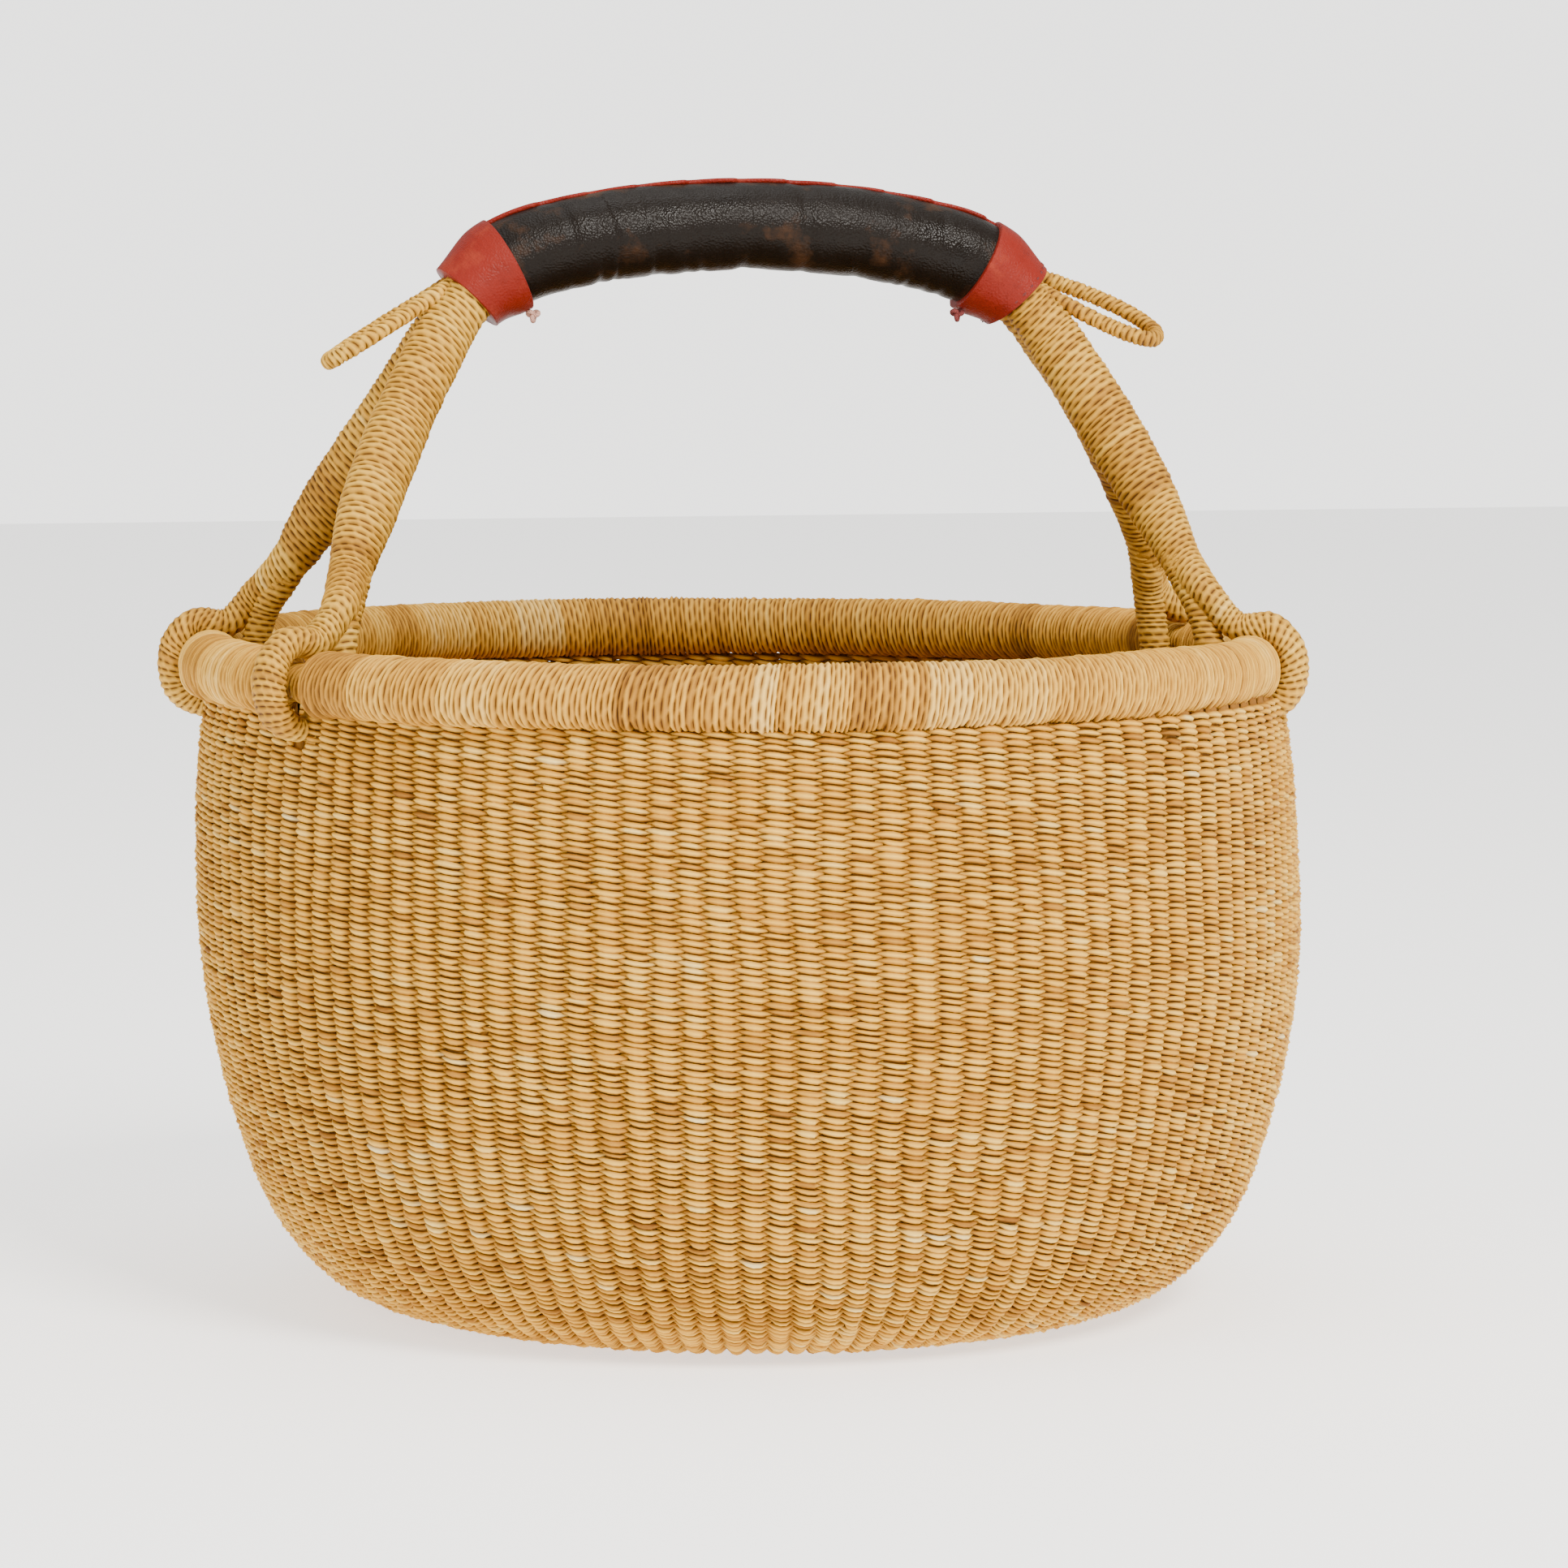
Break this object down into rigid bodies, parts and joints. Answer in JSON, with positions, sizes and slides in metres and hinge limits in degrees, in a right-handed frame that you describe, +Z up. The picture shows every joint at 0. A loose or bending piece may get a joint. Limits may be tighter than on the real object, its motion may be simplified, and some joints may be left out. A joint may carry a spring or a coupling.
{
  "type": "woven market basket",
  "caption": "Round twined-straw market basket with a wrapped rim, a leather-gripped arched handle on four looped legs, and two small hanging loops.",
  "frame": {"origin": "on the surface the basket stands on, under the middle of the bowl", "axes": "+Z up; X along the handle's grip; -Y towards the side the handle stands nearer to"},
  "size_m": [0.4, 0.39, 0.3947],
  "materials": {
    "weave_straw": "matte twisted grass straw, twined, golden with paler and browner strands",
    "rim_straw": "matte grass straw wound closely round the rim, in patches of paler and browner strands",
    "leg_straw": "matte two-ply twisted straw, wound closely",
    "loop_straw": "matte two-ply twisted straw, wound closely",
    "stake_straw": "dry straw bundles, darker in the shade of the weave",
    "dark_leather": "worn smooth goat leather, near black with brown patches, half gloss",
    "red_leather": "brick red goat leather, grained, half gloss",
    "knot_thread": "cotton thread, knotted"
  },
  "bodies": {
    "basket": {"base_cross": "stake_straw", "base_weft": "weave_straw", "wall_weft_foot": "weave_straw", "wall_weft_hip": "weave_straw", "wall_weft_side": "weave_straw", "wall_weft_shoulder": "weave_straw", "stakes_long": "stake_straw", "stakes_added": "stake_straw", "rim_core": "stake_straw", "rim_wrap": "rim_straw"},
    "handle": {"arch_core_front": "stake_straw", "arch_core_back": "stake_straw", "grip_pad_upper": "stake_straw", "grip_pad_lower": "stake_straw", "grip_sleeve": "dark_leather", "grip_lace": "red_leather", "cuff_left": "red_leather", "cuff_right": "red_leather", "cuff_knot_left": "knot_thread", "cuff_knot_right": "knot_thread", "leg_wrap_front_left": "leg_straw", "leg_wrap_front_right": "leg_straw", "leg_wrap_back_left": "leg_straw", "leg_wrap_back_right": "leg_straw", "ring_core_front_left": "stake_straw", "ring_core_front_right": "stake_straw", "ring_core_back_left": "stake_straw", "ring_core_back_right": "stake_straw", "ring_wrap_front_left": "leg_straw", "ring_wrap_front_right": "leg_straw", "ring_wrap_back_left": "leg_straw", "ring_wrap_back_right": "leg_straw", "ear_core_left": "stake_straw", "ear_core_right": "stake_straw", "ear_wrap_left": "loop_straw", "ear_wrap_right": "loop_straw"}
  },
  "joints": [
    {"name": "handle_rock", "type": "hinge", "parent": "basket", "child": "handle", "pos_m": [0, -0.015, 0.226], "axis": [1, 0, 0], "range_deg": [-1.5, 1.5]}
  ]
}
